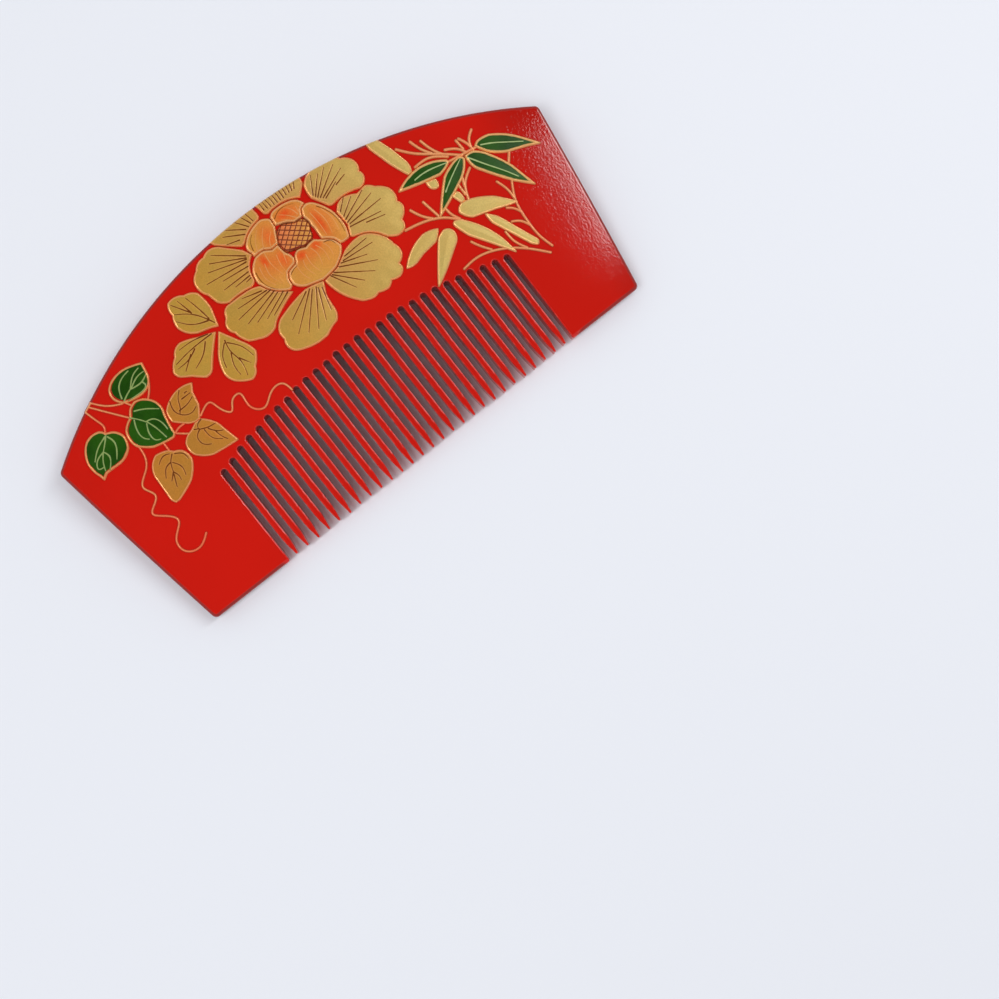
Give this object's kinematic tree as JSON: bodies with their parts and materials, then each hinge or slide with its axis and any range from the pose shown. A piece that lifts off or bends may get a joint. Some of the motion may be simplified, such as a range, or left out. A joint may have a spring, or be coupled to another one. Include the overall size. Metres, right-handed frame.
{
  "type": "kushi comb",
  "caption": "Lacquered wooden kushi comb with an arched spine, a row of sawn teeth between two end plates, and a raised gold and green flower, ivy and bamboo pattern.",
  "frame": {"origin": "middle of the flat back's bounding box, on the plane the comb lies on", "axes": "+X along the comb's length, +Y from the teeth to the spine, +Z out of the decorated face"},
  "size_m": [0.0948, 0.047, 0.0065],
  "materials": {
    "red_lacquer": "polished vermilion lacquer over wood",
    "gold_lacquer": "raised gold powder lacquer, satin",
    "orange_gold_lacquer": "raised gold lacquer shaded with vermilion, satin",
    "dark_gold_lacquer": "raised ochre gold lacquer, satin",
    "green_lacquer": "raised green lacquer, semi-gloss",
    "line_gold": "fine raised salmon gold line"
  },
  "bodies": {
    "root": {"bamboo_bud_lower": "gold_lacquer", "bamboo_bud_upper": "gold_lacquer", "bamboo_gold_left": "gold_lacquer", "bamboo_gold_lower_left": "gold_lacquer", "bamboo_gold_lower_right": "gold_lacquer", "bamboo_gold_middle": "gold_lacquer", "bamboo_gold_right": "gold_lacquer", "bamboo_gold_top": "gold_lacquer", "bamboo_green_left": "green_lacquer", "bamboo_green_lower": "green_lacquer", "bamboo_green_right": "green_lacquer", "bamboo_green_upper": "green_lacquer", "bamboo_twigs_lower": "line_gold", "bamboo_twigs_middle": "line_gold", "bamboo_twigs_upper": "line_gold", "comb_body": "red_lacquer", "heart_bottom": "orange_gold_lacquer", "heart_left": "orange_gold_lacquer", "heart_right": "orange_gold_lacquer", "heart_top": "orange_gold_lacquer", "heart_upper_left": "orange_gold_lacquer", "ivy_gold_left": "dark_gold_lacquer", "ivy_gold_lower": "dark_gold_lacquer", "ivy_gold_right": "dark_gold_lacquer", "ivy_green_left": "green_lacquer", "ivy_green_middle": "green_lacquer", "ivy_green_top": "green_lacquer", "ivy_stems": "line_gold", "ivy_tendril_left": "line_gold", "ivy_tendril_right": "line_gold", "peony_leaf_left": "gold_lacquer", "peony_leaf_lower": "gold_lacquer", "peony_leaf_upper": "gold_lacquer", "petal_bottom_left": "gold_lacquer", "petal_bottom_right": "gold_lacquer", "petal_left_lower": "gold_lacquer", "petal_left_upper": "gold_lacquer", "petal_right": "gold_lacquer", "petal_top_left": "gold_lacquer", "petal_top_middle": "gold_lacquer", "petal_top_right": "gold_lacquer", "seed_head": "gold_lacquer"}
  },
  "joints": []
}
